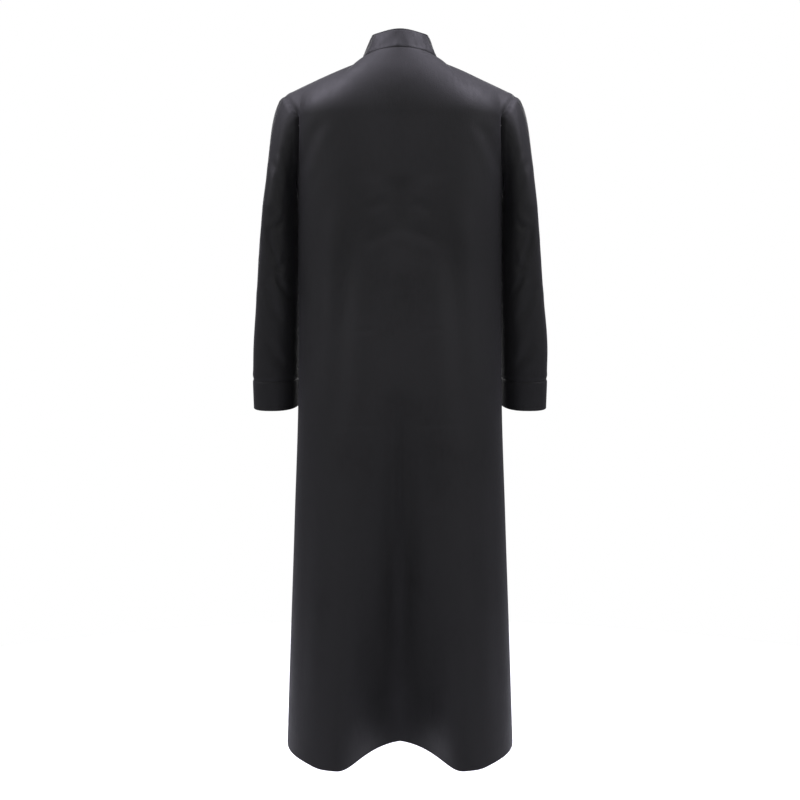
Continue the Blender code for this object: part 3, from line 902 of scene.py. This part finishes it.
BUTTON_COUNT = 18
BUTTON_RADIUS = 0.0065
BUTTON_HEIGHT = 0.0042
BUTTON_STEPS = 36
BUTTON_LINE_STEPS = 1200
BUTTON_PROFILE = (  # shares of the radius and height, from the middle of the dome to the back
    (0.00, 1.00),
    (0.22, 0.985),
    (0.42, 0.93),
    (0.60, 0.84),
    (0.72, 0.74),
    (0.755, 0.665),
    (0.79, 0.655),
    (0.83, 0.70),
    (0.90, 0.66),
    (0.97, 0.50),
    (1.00, 0.36),
    (0.97, 0.20),
    (0.86, 0.08),
    (0.40, 0.05),
    (0.00, 0.05),
)


def turned_mesh(name, profile):
    """A closed turned mesh about +Z."""
    angles = [2 * math.pi * step / BUTTON_STEPS for step in range(BUTTON_STEPS)]
    mesh = bmesh.new()
    rings = []
    for out, height in profile:
        if out == 0:
            rings.append([mesh.verts.new((0, 0, height))] * BUTTON_STEPS)
            continue
        rings.append([mesh.verts.new((out * math.cos(a), out * math.sin(a), height)) for a in angles])
    for outer, inner in zip(rings, rings[1:]):
        for step in range(BUTTON_STEPS):
            after = (step + 1) % BUTTON_STEPS
            corners = (outer[step], inner[step], inner[after], outer[after])
            mesh.faces.new(list(dict.fromkeys(corners)))
    data = bpy.data.meshes.new(name)
    mesh.to_mesh(data)
    mesh.free()
    data.shade_smooth()
    return data


def front_line(shift, count):
    """Points and outward directions down the left front's surface at this x, from the neckline."""
    rows = [3 - row for row in even(0, 3, count)]
    points = panel_points(FRONT, [(0, shift)], rows)[:, 0]
    falls = np.gradient(points, axis=0)
    falls /= np.linalg.norm(falls, axis=1, keepdims=True)
    outward = np.cross(falls, (1.0, 0.0, 0.0))
    return points, outward


def make_buttons():
    profile = [(out * BUTTON_RADIUS, height * BUTTON_HEIGHT) for out, height in BUTTON_PROFILE]
    line, outward = front_line(0, BUTTON_LINE_STEPS)
    places = []
    for index in range(BUTTON_COUNT):
        node = f"button_{index + 1:02d}"
        low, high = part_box(node)
        middle = (low + high) / 2
        nearest = int(np.argmin(np.linalg.norm(line - np.array(middle), axis=1)))
        out = Vector(outward[nearest])
        button = linked(f"{node}_dome", turned_mesh(node, profile), BUTTON_LOOK)
        across = Vector((1, 0, 0))
        turn = Matrix((across, out.cross(across), out)).transposed()
        foot = middle - out * BUTTON_HEIGHT / 2
        button.matrix_world = Matrix.Translation(foot) @ turn.to_4x4()
        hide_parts(node)
        places.append((foot, out))
    return places


STITCH = 0.0022
STITCH_GAP = 0.0010
STITCH_RADIUS = 0.00022
STITCH_SIDES = 5
StitchRing = namedtuple("StitchRing", "share rise thick")  # rise and thickness in radii
STITCH_PROFILE = (
    StitchRing(0.0, -0.8, 0.5),
    StitchRing(0.2, 0.35, 1.0),
    StitchRing(0.8, 0.35, 1.0),
    StitchRing(1.0, -0.8, 0.5),
)


def stitch_rings(start, end, out):
    """The rings of one thread from start to end, dipping into the cloth at both ends."""
    along_it = (end - start).normalized()
    side = out.cross(along_it)
    angles = [2 * math.pi * step / STITCH_SIDES for step in range(STITCH_SIDES)]
    around = [side * math.cos(angle) + out * math.sin(angle) for angle in angles]
    rings = []
    for share, rise, thick in STITCH_PROFILE:
        middle = start.lerp(end, share) + out * rise * STITCH_RADIUS
        rings.append([middle + way * thick * STITCH_RADIUS for way in around])
    return rings


def thread_mesh(name, stitches):
    """One mesh of many threads, each given by its start, end and outward direction."""
    mesh = bmesh.new()
    for start, end, out in stitches:
        rings = [[mesh.verts.new(point) for point in ring] for ring in stitch_rings(start, end, out)]
        for first, second in zip(rings, rings[1:]):
            for step in range(STITCH_SIDES):
                after = (step + 1) % STITCH_SIDES
                mesh.faces.new((first[step], first[after], second[after], second[step]))
        mesh.faces.new(rings[0][::-1])
        mesh.faces.new(rings[-1])
    bmesh.ops.recalc_face_normals(mesh, faces=mesh.faces)
    data = bpy.data.meshes.new(name)
    mesh.to_mesh(data)
    mesh.free()
    data.shade_smooth()
    return data


def run_of_stitches(points, outs):
    """Even stitches along a line of points."""
    lengths = np.linalg.norm(np.diff(points, axis=0), axis=1)
    run = np.concatenate([[0], np.cumsum(lengths)])
    count = int(run[-1] / (STITCH + STITCH_GAP))
    starts = np.arange(count) * (STITCH + STITCH_GAP) + STITCH_GAP

    def at(distance):
        place = Vector([float(np.interp(distance, run, points[:, axis])) for axis in range(3)])
        out = Vector([float(np.interp(distance, run, outs[:, axis])) for axis in range(3)])
        return place, out.normalized()

    stitches = []
    for distance in starts:
        place, out = at(distance)
        end, _ = at(distance + STITCH)
        stitches.append((place, end, out))
    return stitches


PLACKET_STITCH_IN = 0.0040  # in from the left front's free edge
PLACKET_STEPS = 700
PLACKET_SHOWN = slice(8, -12)  # the steps from below the collar to above the hem
BUTTONHOLE_START = 0.0045  # from the button's middle, under its rim
BUTTONHOLE_REACH = 0.0085  # how far the threads run on from there
BUTTONHOLE_PITCH = 0.00042
BUTTONHOLE_THREAD = (0.000225, 0.00135)  # each thread's ends, from the slit outwards
BUTTONHOLE_SINK = 0.0004  # how far the cloth lies below the button's foot


def make_threads(places):
    line, outward = front_line(PLACKET_STITCH_IN - LAP, PLACKET_STEPS)
    stitches = run_of_stitches(line[PLACKET_SHOWN], outward[PLACKET_SHOWN])
    linked("placket_stitching", thread_mesh("placket_stitching", stitches), THREAD_LOOK)

    holes = []
    across = Vector((1, 0, 0))
    for foot, out in places:
        up = out.cross(across)
        ground = foot - out * BUTTONHOLE_SINK
        for step in range(int(BUTTONHOLE_REACH / BUTTONHOLE_PITCH)):
            middle = ground + across * (BUTTONHOLE_START + step * BUTTONHOLE_PITCH)
            for way in (1, -1):
                inner, outer = (middle + up * way * reach for reach in BUTTONHOLE_THREAD)
                holes.append((inner, outer, out))
    linked("buttonholes", thread_mesh("buttonholes", holes), THREAD_LOOK)


# ---------------------------------------------------------------------------------------------------------
# The studio

FLOOR_Z = -1.64
FLOOR_RADIUS = 2.6
DOME_RADIUS = 20.0
CAMERA_AT = (0, 2.2, -0.677)
LENS = 49.5
WORLD_STRENGTH = 0.22
WHITE = (1.0, 1.0, 1.0)
LILAC = (0.89, 0.85, 1.0)

Lamp = namedtuple("Lamp", "name at aim size watts colour")
PAIRED_LAMPS = (  # as on the wearer's left
    Lamp("overhead", (1.0, 0.1, 1.5), (0.1, 0, 0), (1.0, 1.0), 84, LILAC),
    Lamp("side", (2.2, 1.5, 0.8), (0, 0, -0.2), (0.9, 1.4), 44, WHITE),
    Lamp("front", (1.0, -2.6, 0.5), (0, 0, -0.6), (0.9, 1.6), 24, WHITE),
)
FILL_LAMP = Lamp("fill", (0, 3.0, 1.2), (0, 0, -0.3), (1.8, 1.0), 24, WHITE)


def area_light(lamp):
    data = bpy.data.lights.new(lamp.name, "AREA")
    data.shape = "RECTANGLE"
    data.size, data.size_y = lamp.size
    data.energy = lamp.watts
    data.color = lamp.colour
    light = bpy.data.objects.new(lamp.name, data)
    bpy.context.scene.collection.objects.link(light)
    light.location = lamp.at
    light.rotation_euler = (Vector(lamp.aim) - Vector(lamp.at)).to_track_quat("-Z", "Y").to_euler()


def on_side(lamp, hand):
    """A paired lamp's own one for this side."""
    sides = {LEFT: "left", RIGHT: "right"}
    at, aim = ((x * hand, y, z) for x, y, z in (lamp.at, lamp.aim))
    return lamp._replace(name=f"{lamp.name}_{sides[hand]}", at=at, aim=aim)


def stage_object(name, mesh):
    data = bpy.data.meshes.new(name)
    mesh.to_mesh(data)
    mesh.free()
    made = bpy.data.objects.new(name, data)
    bpy.context.scene.collection.objects.link(made)
    material = bpy.data.materials.new(name)
    material.use_nodes = True
    data.materials.append(material)
    return made


def make_studio():
    floor_mesh = bmesh.new()
    bmesh.ops.create_circle(floor_mesh, cap_ends=True, segments=96, radius=FLOOR_RADIUS)
    floor = stage_object("floor", floor_mesh)
    floor.location.z = FLOOR_Z
    shader = floor.active_material.node_tree.nodes["Principled BSDF"]
    shader.inputs["Base Color"].default_value = (0.92, 0.93, 0.96, 1)
    shader.inputs["Roughness"].default_value = 0.9

    # a white surround that lights nothing, so that the lamps alone light the black cloth
    dome_mesh = bmesh.new()
    bmesh.ops.create_uvsphere(dome_mesh, u_segments=48, v_segments=24, radius=DOME_RADIUS)
    dome = stage_object("surround", dome_mesh)
    shader = dome.active_material.node_tree.nodes["Principled BSDF"]
    shader.inputs["Base Color"].default_value = (0, 0, 0, 1)
    shader.inputs["Specular IOR Level"].default_value = 0
    shader.inputs["Emission Color"].default_value = (1, 1, 1, 1)
    shader.inputs["Emission Strength"].default_value = 1.0
    for rays in ("diffuse", "glossy", "transmission", "volume_scatter", "shadow"):
        setattr(dome, f"visible_{rays}", False)

    world = bpy.data.worlds.new("studio")
    world.use_nodes = True
    world.node_tree.nodes["Background"].inputs["Color"].default_value = (1, 1, 1, 1)
    world.node_tree.nodes["Background"].inputs["Strength"].default_value = WORLD_STRENGTH
    bpy.context.scene.world = world

    for hand in (LEFT, RIGHT):
        for lamp in PAIRED_LAMPS:
            area_light(on_side(lamp, hand))
    area_light(FILL_LAMP)

    data = bpy.data.cameras.new("camera")
    data.lens = LENS
    camera = bpy.data.objects.new("camera", data)
    bpy.context.scene.collection.objects.link(camera)
    camera.location = CAMERA_AT
    camera.rotation_euler = (math.pi / 2, 0, math.pi)
    bpy.context.scene.camera = camera
    bpy.context.scene.view_settings.view_transform = "Standard"


# ---------------------------------------------------------------------------------------------------------
# The cloth, the buttons, the stitching and the studio


pieces = make_cloth()
button_places = make_buttons()
make_threads(button_places)
make_studio()
